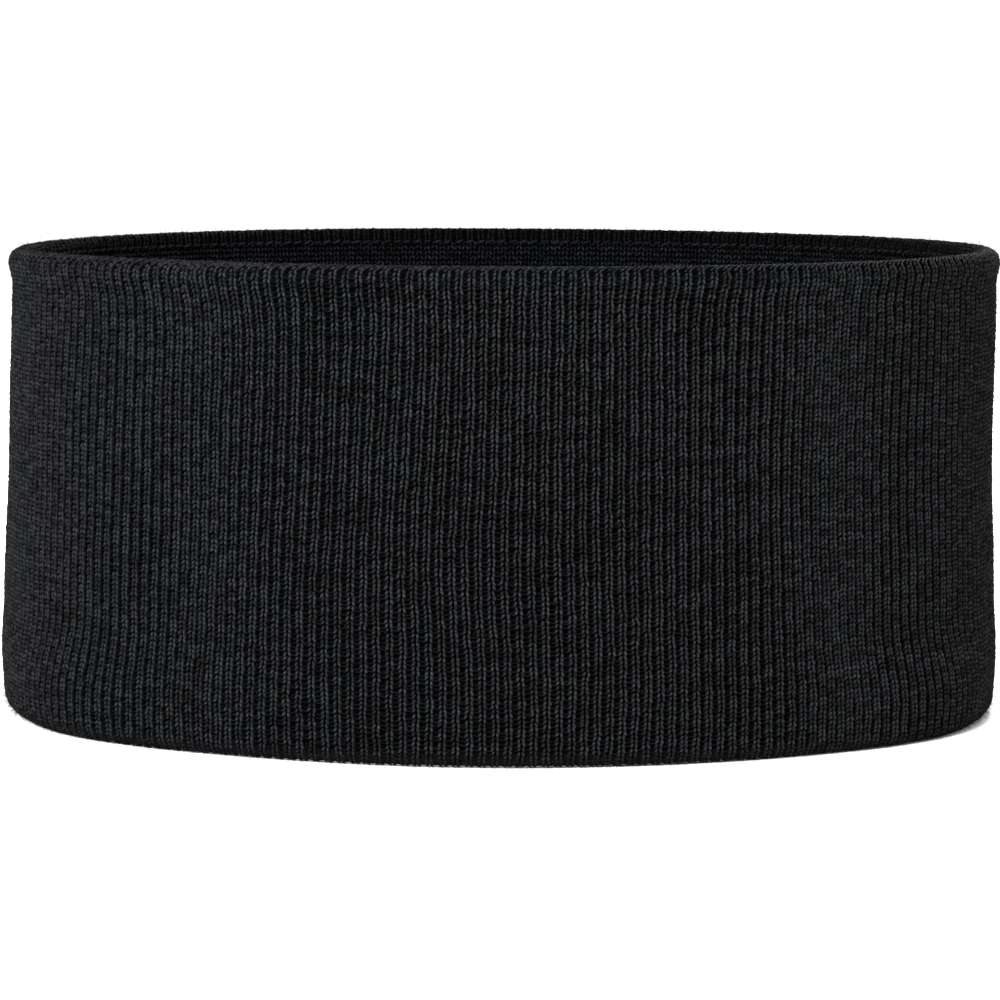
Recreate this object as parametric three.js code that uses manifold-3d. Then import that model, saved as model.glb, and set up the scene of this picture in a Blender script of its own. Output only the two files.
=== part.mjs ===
// Sports headband: a ring of ribbed knit, lined with a finer knit, for an adult head.
// Millimetres, +Z up. The band stands on its lower rim, with the brow side towards -Y.
// Both rims are folds: the ribbed knit turns in over the lining's edge and is linked to it.
import * as THREE from 'three';
import Module from 'manifold-3d';
import { mergeVertices } from 'three/addons/utils/BufferGeometryUtils.js';

// The band as a whole
const BAND_WIDTH = 199; // temple to temple, over the widest part
const BAND_DEPTH = 159; // brow to nape, over the widest part
const BAND_HEIGHT = 92;
const AROUND_STEPS = 84; // flat facets around each ring

// Fabric and thread
const RIB_THICKNESS = 2.2; // ribbed outer knit
const LINING_THICKNESS = 1.6; // finer inner knit
const LINK_THREAD = 0.9; // diameter of the chain that links the rims
const OUTER_SEAM_THREAD = 0.9; // diameter of the thread that closes the outer knit
const LINING_SEAM_THREAD = 0.6; // diameter of the thread that closes the lining
const CLEARANCE = 0.3; // between pieces that touch

// The outer face, as distances in from the widest part of the band
const RIM_INSET = 0.4; // both folded rims
const UPPER_PINCH_INSET = 1.1; // the line pulled in just below the upper rim
const LOWER_PINCH_INSET = 0.6; // the same just above the lower rim
const PINCH_DROP = 5.5; // from a rim to its pinched line
const WAIST_INSET = 0.7; // half way up
const BELLY_RISE = 24; // height of the widest part
const FOLD_CORNER = 2.0; // outer corner radius of the folded rims
const CORNER_STEPS = 4;

// Closing seams at the back
const OUTER_SEAM_OFFSET = 0; // sideways from the centre back
const LINING_SEAM_OFFSET = 15;
const SEAM_STITCH = 3.2; // length of one zigzag stitch
const SEAM_SWING = 0.25; // sideways swing of the zigzag
const SEAM_MARGIN = 5; // from the rim to the end of a closing seam

// Care label, blank, sewn to the lining at the centre back by its upper edge
const LABEL_WIDTH = 24;
const LABEL_LENGTH = 28;
const LABEL_THICKNESS = 0.5;
const LABEL_THREAD = 0.6; // diameter of the stitch line that it hangs from
const LABEL_DROP = 30; // from the upper rim to the stitch line

// Sizes that follow
const halfWidth = BAND_WIDTH / 2;
const halfDepth = BAND_DEPTH / 2;
const liningInset = RIB_THICKNESS + CLEARANCE;
const liningFaceInset = liningInset + LINING_THICKNESS;
const foldReach = liningFaceInset + CLEARANCE + LINK_THREAD;
const linkDrop = RIB_THICKNESS + CLEARANCE + LINK_THREAD / 2;
const BACK = Math.PI;

const wasm = await Module();
wasm.setup();

// A point on the band: angle round the head from the brow, distance in from the widest
// oval, and height.
function onBand(angle, inset, height) {
  const normal = new THREE.Vector2(Math.sin(angle) / halfWidth, -Math.cos(angle) / halfDepth);
  normal.normalize();
  return new THREE.Vector3(
    halfWidth * Math.sin(angle) - inset * normal.x,
    -halfDepth * Math.cos(angle) - inset * normal.y,
    height
  );
}

// The angle of a place at the back, given how far it lies to the side of the centre back.
function backAngle(sideways) {
  return BACK - sideways / halfWidth;
}

// How far the outer face lies in from the widest oval, from the lower rim up.
const facePoints = [
  new THREE.Vector2(RIM_INSET, 0),
  new THREE.Vector2(RIM_INSET, FOLD_CORNER),
  new THREE.Vector2(LOWER_PINCH_INSET, PINCH_DROP),
  new THREE.Vector2(0, BELLY_RISE),
  new THREE.Vector2(WAIST_INSET, BAND_HEIGHT * 0.5),
  new THREE.Vector2(WAIST_INSET, BAND_HEIGHT * 0.75),
  new THREE.Vector2(UPPER_PINCH_INSET, BAND_HEIGHT - PINCH_DROP),
  new THREE.Vector2(RIM_INSET, BAND_HEIGHT - FOLD_CORNER),
  new THREE.Vector2(RIM_INSET, BAND_HEIGHT)
];

function faceInset(height) {
  const above = facePoints.findIndex((point) => point.y >= height);
  if (above <= 0) {
    return RIM_INSET;
  }
  const low = facePoints[above - 1];
  const high = facePoints[above];
  return THREE.MathUtils.mapLinear(height, low.y, high.y, low.x, high.x);
}

// Points up a line that runs parallel to the outer face, depth below it.
function faceLine(depth, bottom, top) {
  const between = facePoints.map((point) => point.y).filter((y) => y > bottom && y < top);
  const heights = [bottom, ...between, top];
  return heights.map((height) => new THREE.Vector2(faceInset(height) + depth, height));
}

function arcPoints(x, y, radius, start, end) {
  const clockwise = end < start;
  const arc = new THREE.EllipseCurve(x, y, radius, radius, start, end, clockwise);
  return arc.getPoints(CORNER_STEPS);
}

// A ring with the given cross-section, listed as points of (inset, height).
function ringGeometry(section) {
  const radius = halfWidth;
  const profile = section.map((point) => new THREE.Vector2(radius - point.x, point.y));
  profile.push(profile[0].clone());
  const geometry = new THREE.LatheGeometry(profile, AROUND_STEPS);
  const place = geometry.getAttribute('position');
  for (let i = 0; i < place.count; i += 1) {
    const across = place.getX(i);
    const along = place.getZ(i);
    const inset = radius - Math.hypot(across, along);
    const bent = onBand(Math.atan2(across, along), inset, place.getY(i));
    place.setXYZ(i, bent.x, bent.y, bent.z);
  }
  return geometry;
}

// The ribbed knit: a wall with a fold at each rim that reaches in over the lining's edge.
function outerBandSection() {
  const nose = RIB_THICKNESS / 2;
  const noseInset = RIM_INSET + foldReach - nose;
  const corner = RIM_INSET + FOLD_CORNER;
  const innerBottom = RIB_THICKNESS;
  const innerTop = BAND_HEIGHT - RIB_THICKNESS;
  const quarter = Math.PI / 2;
  return [
    ...arcPoints(corner, FOLD_CORNER, FOLD_CORNER, -quarter, -2 * quarter),
    ...faceLine(0, FOLD_CORNER, BAND_HEIGHT - FOLD_CORNER).slice(1, -1),
    ...arcPoints(corner, BAND_HEIGHT - FOLD_CORNER, FOLD_CORNER, 2 * quarter, quarter),
    ...arcPoints(noseInset, BAND_HEIGHT - nose, nose, quarter, -quarter),
    ...faceLine(RIB_THICKNESS, innerBottom, innerTop).reverse(),
    ...arcPoints(noseInset, nose, nose, quarter, -quarter)
  ];
}

function liningSection() {
  const bottom = RIB_THICKNESS + CLEARANCE;
  const top = BAND_HEIGHT - RIB_THICKNESS - CLEARANCE;
  return [
    ...faceLine(liningInset, bottom, top),
    ...faceLine(liningFaceInset, bottom, top).reverse()
  ];
}

// The linking thread lies in the corner between a fold and the lining's inner face.
function linkSection(height) {
  const inset = faceInset(height) + liningFaceInset + CLEARANCE + LINK_THREAD / 2;
  const sides = 6;
  const points = [];
  for (let side = 0; side < sides; side += 1) {
    const turn = (-2 * Math.PI * side) / sides;
    points.push(
      new THREE.Vector2(
        inset + (LINK_THREAD / 2) * Math.cos(turn),
        height + (LINK_THREAD / 2) * Math.sin(turn)
      )
    );
  }
  return points;
}

// Booleans on closed meshes
function toSolid(geometry) {
  const bare = geometry.clone();
  bare.deleteAttribute('normal');
  bare.deleteAttribute('uv');
  const merged = mergeVertices(bare, 1e-4);
  const mesh = new wasm.Mesh({
    numProp: 3,
    vertProperties: new Float32Array(merged.getAttribute('position').array),
    triVerts: new Uint32Array(merged.getIndex().array)
  });
  return new wasm.Manifold(mesh);
}

function toGeometry(solid) {
  const mesh = solid.getMesh();
  const geometry = new THREE.BufferGeometry();
  geometry.setAttribute('position', new THREE.BufferAttribute(mesh.vertProperties, 3));
  geometry.setIndex(new THREE.BufferAttribute(mesh.triVerts, 1));
  return geometry;
}

// A closing seam lies in a groove of its own: faceDepth is the depth of the face that it
// is sunk in, and inwards is 1 where the groove is cut from the outside and -1 from the inside.
function seamGroove(seam) {
  const { sideways, thread, faceDepth, inwards } = seam;
  const width = thread + 2 * SEAM_SWING + 2 * CLEARANCE;
  const bottom = SEAM_MARGIN - CLEARANCE;
  const top = BAND_HEIGHT - SEAM_MARGIN + CLEARANCE;
  const floor = faceLine(faceDepth + inwards * (thread + CLEARANCE), bottom, top);
  const open = faceLine(faceDepth - inwards * thread, bottom, top).reverse();
  const outline = new THREE.Shape([...floor, ...open]);
  const geometry = new THREE.ExtrudeGeometry(outline, { depth: width, bevelEnabled: false });
  const place = geometry.getAttribute('position');
  for (let i = 0; i < place.count; i += 1) {
    const across = sideways + width / 2 - place.getZ(i);
    const bent = onBand(backAngle(across), place.getX(i), place.getY(i));
    place.setXYZ(i, bent.x, bent.y, bent.z);
  }
  return geometry;
}

function threadSection(diameter) {
  const section = new THREE.Shape();
  section.absarc(0, 0, diameter / 2, 0, 2 * Math.PI);
  return section;
}

function seamThread(seam) {
  const { sideways, thread, faceDepth, inwards } = seam;
  const length = BAND_HEIGHT - 2 * SEAM_MARGIN - thread;
  const turns = Math.round((2 * length) / SEAM_STITCH);
  const points = [];
  for (let turn = 0; turn <= turns; turn += 1) {
    const height = SEAM_MARGIN + thread / 2 + (length * turn) / turns;
    const swing = turn % 2 === 0 ? SEAM_SWING : -SEAM_SWING;
    const inset = faceInset(height) + faceDepth + (inwards * thread) / 2;
    points.push(onBand(backAngle(sideways + swing), inset, height));
  }
  const path = new THREE.CatmullRomCurve3(points);
  return new THREE.ExtrudeGeometry(threadSection(thread), {
    steps: turns,
    curveSegments: 3,
    bevelEnabled: false,
    extrudePath: path
  });
}

const outerSeam = {
  sideways: OUTER_SEAM_OFFSET,
  thread: OUTER_SEAM_THREAD,
  faceDepth: 0,
  inwards: 1
};
const liningSeam = {
  sideways: LINING_SEAM_OFFSET,
  thread: LINING_SEAM_THREAD,
  faceDepth: liningFaceInset,
  inwards: -1
};

// The label is flat, so its side edges come nearest to the curved lining. Its stitch line
// is the axis that it swings about.
function labelPlace() {
  const top = BAND_HEIGHT - LABEL_DROP;
  const heights = faceLine(liningFaceInset, top - LABEL_LENGTH, top + LABEL_THREAD);
  const inset = Math.max(...heights.map((point) => point.x));
  const curve = (halfWidth * halfWidth) / halfDepth - inset;
  const sag = curve - Math.sqrt(curve * curve - (LABEL_WIDTH * LABEL_WIDTH) / 4);
  const proud = Math.max(LABEL_THICKNESS, LABEL_THREAD) / 2 + CLEARANCE;
  return { depth: halfDepth - inset - sag - proud, height: top };
}

function fabric(colour, roughness) {
  return new THREE.MeshStandardMaterial({ color: colour, roughness, metalness: 0 });
}

const headband = new THREE.Group();

function addPiece(name, geometry, material, parent = headband) {
  const mesh = new THREE.Mesh(geometry, material);
  mesh.name = name;
  parent.add(mesh);
  return mesh;
}

function grooved(geometry, seam) {
  const solid = toSolid(geometry).subtract(toSolid(seamGroove(seam)));
  return toGeometry(solid);
}

const ribBlack = fabric(0x1a1b1d, 0.9);
const liningBlack = fabric(0x141517, 0.9);
const threadBlack = fabric(0x232427, 0.8);
const labelBlack = fabric(0x2a2a2c, 0.6);

addPiece('outer_band', grooved(ringGeometry(outerBandSection()), outerSeam), ribBlack);
addPiece('inner_lining', grooved(ringGeometry(liningSection()), liningSeam), liningBlack);
addPiece('top_link_seam', ringGeometry(linkSection(BAND_HEIGHT - linkDrop)), threadBlack);
addPiece('bottom_link_seam', ringGeometry(linkSection(linkDrop)), threadBlack);
addPiece('outer_back_seam', seamThread(outerSeam), threadBlack);
addPiece('lining_back_seam', seamThread(liningSeam), threadBlack);

const labelHinge = new THREE.Group();
const { depth, height } = labelPlace();
labelHinge.position.set(0, depth, height);
headband.add(labelHinge);

const labelStitch = new THREE.CylinderGeometry(
  LABEL_THREAD / 2,
  LABEL_THREAD / 2,
  LABEL_WIDTH,
  8
);
const stitchMesh = addPiece('label_stitch', labelStitch, threadBlack, labelHinge);
stitchMesh.rotation.z = Math.PI / 2;

const labelSheet = new THREE.BoxGeometry(LABEL_WIDTH, LABEL_THICKNESS, LABEL_LENGTH);
const labelMesh = addPiece('care_label', labelSheet, labelBlack, labelHinge);
labelMesh.position.z = -(LABEL_THREAD / 2 + CLEARANCE + LABEL_LENGTH / 2);

export default headband;
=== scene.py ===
"""Sports headband: a ring of black 1x1 ribbed knit with folded rims, lined with a finer knit.

Geometry Nodes lay every stitch on the band, over a ribbed cloth that fills the gaps between them.
Lengths are metres, written as millimetres times MM. The brow side faces -Y.
"""
import math

import bpy
import numpy as np
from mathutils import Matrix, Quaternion, Vector


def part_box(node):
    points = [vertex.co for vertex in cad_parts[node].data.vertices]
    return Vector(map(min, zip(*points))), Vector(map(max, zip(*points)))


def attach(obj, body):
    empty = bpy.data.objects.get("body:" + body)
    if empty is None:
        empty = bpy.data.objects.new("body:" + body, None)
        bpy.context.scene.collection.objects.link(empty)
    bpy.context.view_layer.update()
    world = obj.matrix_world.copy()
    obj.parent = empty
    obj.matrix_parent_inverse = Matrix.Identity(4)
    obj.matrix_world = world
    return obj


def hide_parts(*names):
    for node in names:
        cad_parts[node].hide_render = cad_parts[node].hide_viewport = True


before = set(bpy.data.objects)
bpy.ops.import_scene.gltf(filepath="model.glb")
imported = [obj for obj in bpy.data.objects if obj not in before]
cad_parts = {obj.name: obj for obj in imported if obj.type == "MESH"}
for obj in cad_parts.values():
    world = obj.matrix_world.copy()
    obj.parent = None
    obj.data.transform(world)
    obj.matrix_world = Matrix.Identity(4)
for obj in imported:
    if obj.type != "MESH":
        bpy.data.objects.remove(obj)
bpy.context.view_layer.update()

MM = 0.001
TAU = 2 * math.pi
FLAT_MAP = "OFBake"  # the map that lays a piece out flat, for its finish to be kept on
FLAT_MARGIN = 0.02  # share of the map that is left free at each side
FLAT_SPAN = 1 - 2 * FLAT_MARGIN

# ------------------------------------------------------------------ sizes from the frame
band_low, band_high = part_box("outer_band")
lining_low, lining_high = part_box("inner_lining")
lining_seam_low, lining_seam_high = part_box("lining_back_seam")
label_low, label_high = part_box("care_label")
label_thread_low, label_thread_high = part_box("label_stitch")

HALF_WIDTH = band_high.x
HALF_DEPTH = -band_low.y
HEIGHT = band_high.z
WALL = HALF_WIDTH - lining_high.x  # from the outer face to the lining
LINING_THICKNESS = 1.6 * MM
LINING_FACE = WALL + LINING_THICKNESS  # from the outer face to the lining's inner face

# ------------------------------------------------------------------ knit gauge
RIBS = 240
COURSE = 0.868 * MM  # height of one stitch of the outer knit
SECTORS = 8  # pieces that the outer stitches are split into
INNER_SHADE = 0.70  # how much painted shade darkens the knit on the side of the fold that faces the head
INNER_SHADE_FADE = (4.2 * MM, 5.6 * MM)  # lengths from the upper linking between which that painted shade fades out
HEM_SHADE = 0.5  # how much painted shade darkens the knit where it turns under at the hem
HEM_SHADE_FADE = (9.6 * MM, 7.0 * MM)  # lengths from the lower linking between which that painted shade sets in
RIM_RISE = (-0.5 * MM, 0.3 * MM)  # how much higher the rim stands at the left and right ends
RIM_RISE_START = 70 * MM  # height at which the rise sets in
RIM_SWAY = 0.5 * MM  # how far the rim leans to the right
RIM_SWAY_HEIGHTS = (55 * MM, 84 * MM)  # heights between which the lean sets in
HEM_BLUNT = 2.8 * MM  # how much the hem bulges forwards beside the two ends of the oval
HEM_BLUNT_ANGLE = math.radians(56)  # where round the head the bulge is, and how wide
HEM_BLUNT_SPREAD = math.radians(16)
HEM_BLUNT_HEIGHTS = (6 * MM, 24 * MM)  # heights between which the bulge fades out
LINING_COLUMNS = 320
LINING_COURSE = 1.08 * MM
LINING_SECTORS = 4
KEPT_WIDTH_STRETCH = 1.1  # how far a stitch can stretch up its wale before it narrows
NARROWEST_STITCH = 0.66
LONGEST_STITCH = 1.6

# ------------------------------------------------------------------ the band's surface
# Each point is (distance in from the widest oval, height). The line starts at the upper
# linking seam, rolls out over the rim, runs down the outer face and rolls in under the hem.
OUTER_LINE = [
    (5.60 * MM, HEIGHT - 3.2 * MM),
    (5.80 * MM, HEIGHT - 1.9 * MM),
    (5.20 * MM, HEIGHT - 0.65 * MM),
    (3.95 * MM, HEIGHT - 0.1 * MM),
    (2.45 * MM, HEIGHT - 0.4 * MM),
    (1.35 * MM, HEIGHT - 1.4 * MM),
    (0.95 * MM, HEIGHT - 3.0 * MM),
    (1.25 * MM, HEIGHT - 4.6 * MM),
    (1.60 * MM, HEIGHT - 6.4 * MM),
    (1.55 * MM, HEIGHT - 11 * MM),
    (1.35 * MM, 0.73 * HEIGHT),
    (1.05 * MM, 0.50 * HEIGHT),
    (0.45 * MM, 0.34 * HEIGHT),
    (0.20 * MM, 0.23 * HEIGHT),
    (-0.15 * MM, 12 * MM),
    (0.05 * MM, 7.0 * MM),
    (0.25 * MM, 4.0 * MM),
    (0.55 * MM, 2.0 * MM),
    (1.60 * MM, 0.60 * MM),
    (3.20 * MM, 0.15 * MM),
    (4.80 * MM, 0.55 * MM),
    (5.70 * MM, 1.8 * MM),
    (5.55 * MM, 3.1 * MM),
]
# The lining's inner face, from the lower linking seam up.
LINING_LINE = [
    (LINING_FACE + 0.60 * MM, lining_low.z + 0.1 * MM),
    (LINING_FACE + 0.45 * MM, 7 * MM),
    (LINING_FACE + 0.35 * MM, 0.23 * HEIGHT),
    (LINING_FACE + 0.95 * MM, 0.50 * HEIGHT),
    (LINING_FACE + 1.05 * MM, 0.73 * HEIGHT),
    (LINING_FACE + 1.20 * MM, HEIGHT - 7 * MM),
    (LINING_FACE + 0.85 * MM, lining_high.z - 0.1 * MM),
]


def smooth_line(points, count=1600):
    """A smooth line through the points, as evenly spaced positions with their outward normals."""
    points = np.array(points, float)
    at = np.concatenate([[0], np.cumsum(np.linalg.norm(np.diff(points, axis=0), axis=1))])
    slope = np.gradient(points, at, axis=0)
    where = np.linspace(0, at[-1], count * 3)
    i = np.clip(np.searchsorted(at, where, side="right") - 1, 0, len(at) - 2)
    span = (at[i + 1] - at[i])[:, None]
    t = (where - at[i])[:, None] / span
    dense = (
        (2 * t**3 - 3 * t**2 + 1) * points[i]
        + (t**3 - 2 * t**2 + t) * span * slope[i]
        + (-2 * t**3 + 3 * t**2) * points[i + 1]
        + (t**3 - t**2) * span * slope[i + 1]
    )
    length = np.concatenate([[0], np.cumsum(np.linalg.norm(np.diff(dense, axis=0), axis=1))])
    even = np.linspace(0, length[-1], count)
    place = np.stack([np.interp(even, length, dense[:, k]) for k in (0, 1)], 1)
    along = np.gradient(place, even, axis=0)
    along /= np.linalg.norm(along, axis=1)[:, None]
    return {"at": even, "place": place, "normal": np.stack([along[:, 1], -along[:, 0]], 1)}


OUTER = smooth_line(OUTER_LINE)
LINING = smooth_line(LINING_LINE)
OUTER_LENGTH = OUTER["at"][-1]
LINING_LENGTH = LINING["at"][-1]

oval_angles = np.linspace(0, TAU, 4001)
oval_steps = np.hypot(
    HALF_WIDTH * np.cos(oval_angles), HALF_DEPTH * np.sin(oval_angles)
)
oval_lengths = np.concatenate(
    [[0], np.cumsum((oval_steps[1:] + oval_steps[:-1]) / 2 * np.diff(oval_angles))]
)
GIRTH = oval_lengths[-1]  # once round the widest oval
RIB_PITCH = GIRTH / RIBS
LINING_PITCH = GIRTH / LINING_COLUMNS


def angle_at(girth):
    """The angle round the head, from the brow towards +X, at a length round the oval."""
    turns = np.floor(girth / GIRTH)
    return np.interp(girth - turns * GIRTH, oval_lengths, oval_angles) + turns * TAU


def waves(girth, height, terms):
    """A sum of soft waves that close round the band. A term is (size, turns, per metre up, phase)."""
    total = 0.0
    for size, turns, rise, phase in terms:
        total = total + size * np.sin(TAU * (turns * girth / GIRTH + rise * height) + phase)
    return total


def away_from(girth, at_girth):
    """The shorter way round the band from one place."""
    return np.remainder(girth - at_girth + GIRTH / 2, GIRTH) - GIRTH / 2


def bell(away, spread):
    """1 at one place, falling softly to nothing on both sides of it."""
    return np.exp(-((away / spread) ** 2))


# The soft waves in which the wales wander to the side: (size, turns, per metre up, phase).
WALE_DRIFT = [
    (0.55 * MM, 3, 5.0, 0.4),
    (0.22 * MM, 7, -9.0, 2.1),
    (0.08 * MM, 16, 21.0, 0.9),
    (0.05 * MM, 31, -62.0, 4.0),
    (0.05 * MM, 61, 130.0, 1.7),
    (0.025 * MM, 97, 190.0, 0.2),
    (0.025 * MM, 109, -240.0, 3.3),
]
# Where the ribs stand closer together: (length round the band, spread, share by which they close up).
GATHERS = [
    (-57 * MM, 17 * MM, 0.12),
    (67 * MM, 17 * MM, 0.14),
]
# Local pulls to the side: (size, length round the band, spread, height, spread in height).
WALE_PULLS = [
    (-1.1 * MM, -66 * MM, 34 * MM, HEIGHT - 3.5 * MM, 6 * MM),
    (1.1 * MM, 38 * MM, 20 * MM, HEIGHT, 7 * MM),
    (-0.9 * MM, -5 * MM, 30 * MM, 38 * MM, 16 * MM),
]
# The soft waves in which the band swells outwards.
SWELL = [
    (0.22 * MM, 4, 3.0, 1.1),
    (0.12 * MM, 9, 8.0, 2.6),
    (0.05 * MM, 23, -17.0, 0.3),
]
RIM_LEAN = 4.0 * MM  # how far the fold over the rim pulls each rib sideways
RIM_LEAN_START = 6.6 * MM  # lengths along a rib, from the linking seam, between which it is pulled
RIM_LEAN_END = 3.0 * MM
RIM_LEAN_MORE = 0.9 * MM  # how much lower down the face it starts near one place
RIM_LEAN_MORE_GIRTH = -70 * MM
RIM_LEAN_MORE_SPREAD = 40 * MM


def soft_step(value, low, high):
    """From 0 below the low value to 1 above the high one."""
    t = np.clip((value - low) / (high - low), 0, 1)
    return t * t * (3 - 2 * t)


def soft_fall(value, low, high):
    """From 1 below the low value to 0 above the high one."""
    return soft_step(-value, -high, -low)


def rim_lean(girth, along):
    """How far the fold over the rim pulls a rib sideways."""
    near = bell(away_from(girth, RIM_LEAN_MORE_GIRTH), RIM_LEAN_MORE_SPREAD)
    return RIM_LEAN * soft_fall(along, RIM_LEAN_END, RIM_LEAN_START + RIM_LEAN_MORE * near)


def drift(girth, along, height):
    """How far a wale of the outer knit lies to the side of its straight course."""
    side = rim_lean(girth, along) + waves(girth, height, WALE_DRIFT)
    for size, at_girth, spread, at_height, height_spread in WALE_PULLS:
        near = bell(away_from(girth, at_girth), spread) * bell(height - at_height, height_spread)
        side = side + size * near
    for at_girth, spread, share in GATHERS:
        away = away_from(girth, at_girth)
        side = side - share * away * bell(away, spread)
    return side


def on_band(girth, along, depth, line=OUTER):
    """Points of the knit: length round the band, length along its section, depth below its face."""
    inset = np.interp(along, line["at"], line["place"][:, 0])
    height = np.interp(along, line["at"], line["place"][:, 1])
    normal_in = np.interp(along, line["at"], line["normal"][:, 0])
    normal_up = np.interp(along, line["at"], line["normal"][:, 1])
    side = drift(girth, along, height) if line is OUTER else 0.0
    angle = angle_at(girth + side)
    inset = inset - depth * normal_in - waves(girth, height, SWELL)
    sway = RIM_SWAY * soft_step(height, *RIM_SWAY_HEIGHTS)
    to_the_end = np.arcsin(np.abs(np.sin(angle)))
    blunt = bell(to_the_end - HEM_BLUNT_ANGLE, HEM_BLUNT_SPREAD) * (np.cos(angle) > 0)
    inset = inset - HEM_BLUNT * blunt * soft_fall(height, *HEM_BLUNT_HEIGHTS)
    height = height - depth * normal_up
    rise = np.where(np.sin(angle) < 0, *RIM_RISE) * np.abs(np.sin(angle)) ** 5
    height = height + rise * soft_step(height, RIM_RISE_START, HEIGHT)
    across = np.stack([np.sin(angle) / HALF_WIDTH, -np.cos(angle) / HALF_DEPTH], -1)
    across /= np.linalg.norm(across, axis=-1, keepdims=True)
    return np.stack(
        [
            HALF_WIDTH * np.sin(angle) - inset * across[..., 0] + sway,
            -HALF_DEPTH * np.cos(angle) - inset * across[..., 1],
            height + 0 * angle,
        ],
        -1,
    )


# ------------------------------------------------------------------ mesh helpers
def add_object(name, mesh):
    obj = bpy.data.objects.new(name, mesh)
    bpy.context.scene.collection.objects.link(obj)
    return obj


def make_mesh(name, vertices, faces):
    mesh = bpy.data.meshes.new(name)
    mesh.from_pydata([tuple(v) for v in vertices], [], faces, shade_flat=False)
    mesh.update()
    return mesh


def unit(vectors):
    return vectors / np.linalg.norm(vectors, axis=-1, keepdims=True)


def closed_grid(name, points, crest):
    """A closed skin through rows of points that close both ways, with its map laid out flat."""
    rows, columns = points.shape[:2]
    row, column = np.meshgrid(np.arange(rows), np.arange(columns), indexing="ij")
    row, column = row.ravel(), column.ravel()
    corner = np.stack([row + 1, row + 1, row, row], 1)
    turn = np.stack([column, column + 1, column + 1, column], 1)
    index = (corner % rows) * columns + turn % columns
    mesh = bpy.data.meshes.new(name)
    mesh.vertices.add(rows * columns)
    mesh.vertices.foreach_set("co", points.astype(np.float32).ravel())
    mesh.loops.add(index.size)
    mesh.loops.foreach_set("vertex_index", index.astype(np.int32).ravel())
    mesh.polygons.add(len(index))
    mesh.polygons.foreach_set("loop_start", np.arange(0, index.size, 4, dtype=np.int32))
    mesh.update(calc_edges=True)
    layer = mesh.uv_layers.new(name=FLAT_MAP)
    flat = np.stack([turn / columns, corner / rows], -1)
    layer.uv.foreach_set("vector", flat.astype(np.float32).ravel())
    for key, values in (("crest", crest), ("shade", np.ones_like(crest)), ("tone", 0.5 + 0 * crest)):
        layer = mesh.attributes.new(key, "FLOAT", "POINT")
        layer.data.foreach_set("value", values.astype(np.float32).ravel())
    return mesh


def strand(rings, section):
    """Vertices and faces of a yarn up the wale, open below: rings are (x, y, z, half width, depth)."""
    vertices, faces = [], []
    for x, y, z, half, deep in rings:
        for across, down in section:
            vertices.append((x + across * half, y, z - down * deep))
    size = len(section)
    for ring in range(len(rings) - 1):
        for k in range(size - 1):
            a = ring * size + k
            faces.append((a, a + 1, a + 1 + size, a + size))
    return vertices, faces


def crossing_strand(rings, section):
    """A yarn like strand(), but lying across the wale."""
    turned = [(y, x, z, half, deep) for x, y, z, half, deep in rings]
    vertices, faces = strand(turned, section)
    return [(x, y, z) for y, x, z in vertices], [(face[0], *face[:0:-1]) for face in faces]


def closed_strand(points, radii, sides=3):
    """A thin closed yarn or fibre through points, ending in a point at both ends."""
    points = [Vector(p) for p in points]
    vertices, faces = [tuple(points[0])], []
    for i in range(1, len(points) - 1):
        way = (points[i + 1] - points[i - 1]).normalized()
        first = way.orthogonal().normalized()
        second = way.cross(first)
        for k in range(sides):
            turn = TAU * k / sides
            ring = first * math.cos(turn) + second * math.sin(turn)
            vertices.append(tuple(points[i] + ring * radii[i]))
    vertices.append(tuple(points[-1]))
    rings = len(points) - 2
    for k in range(sides):
        after = (k + 1) % sides
        faces.append((0, 1 + after, 1 + k))
        for ring in range(rings - 1):
            a = 1 + ring * sides
            faces.append((a + k, a + after, a + sides + after, a + sides + k))
        last = 1 + (rings - 1) * sides
        faces.append((last + k, last + after, len(vertices) - 1))
    return vertices, faces


def join(parts):
    vertices, faces = [], []
    for more_vertices, more_faces in parts:
        start = len(vertices)
        vertices += more_vertices
        faces += [tuple(start + i for i in face) for face in more_faces]
    return vertices, faces


def in_mm(rings):
    return [tuple(value * MM for value in ring) for ring in rings]


def template(name, shape):
    """A shape to be laid along the knit, which is kept out of the scene itself."""
    return bpy.data.objects.new(name, make_mesh(name, *shape))


# ------------------------------------------------------------------ laying by geometry nodes
LUMPS_PER_METRE = 1700  # how fine the unevenness of the yarn is


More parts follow.
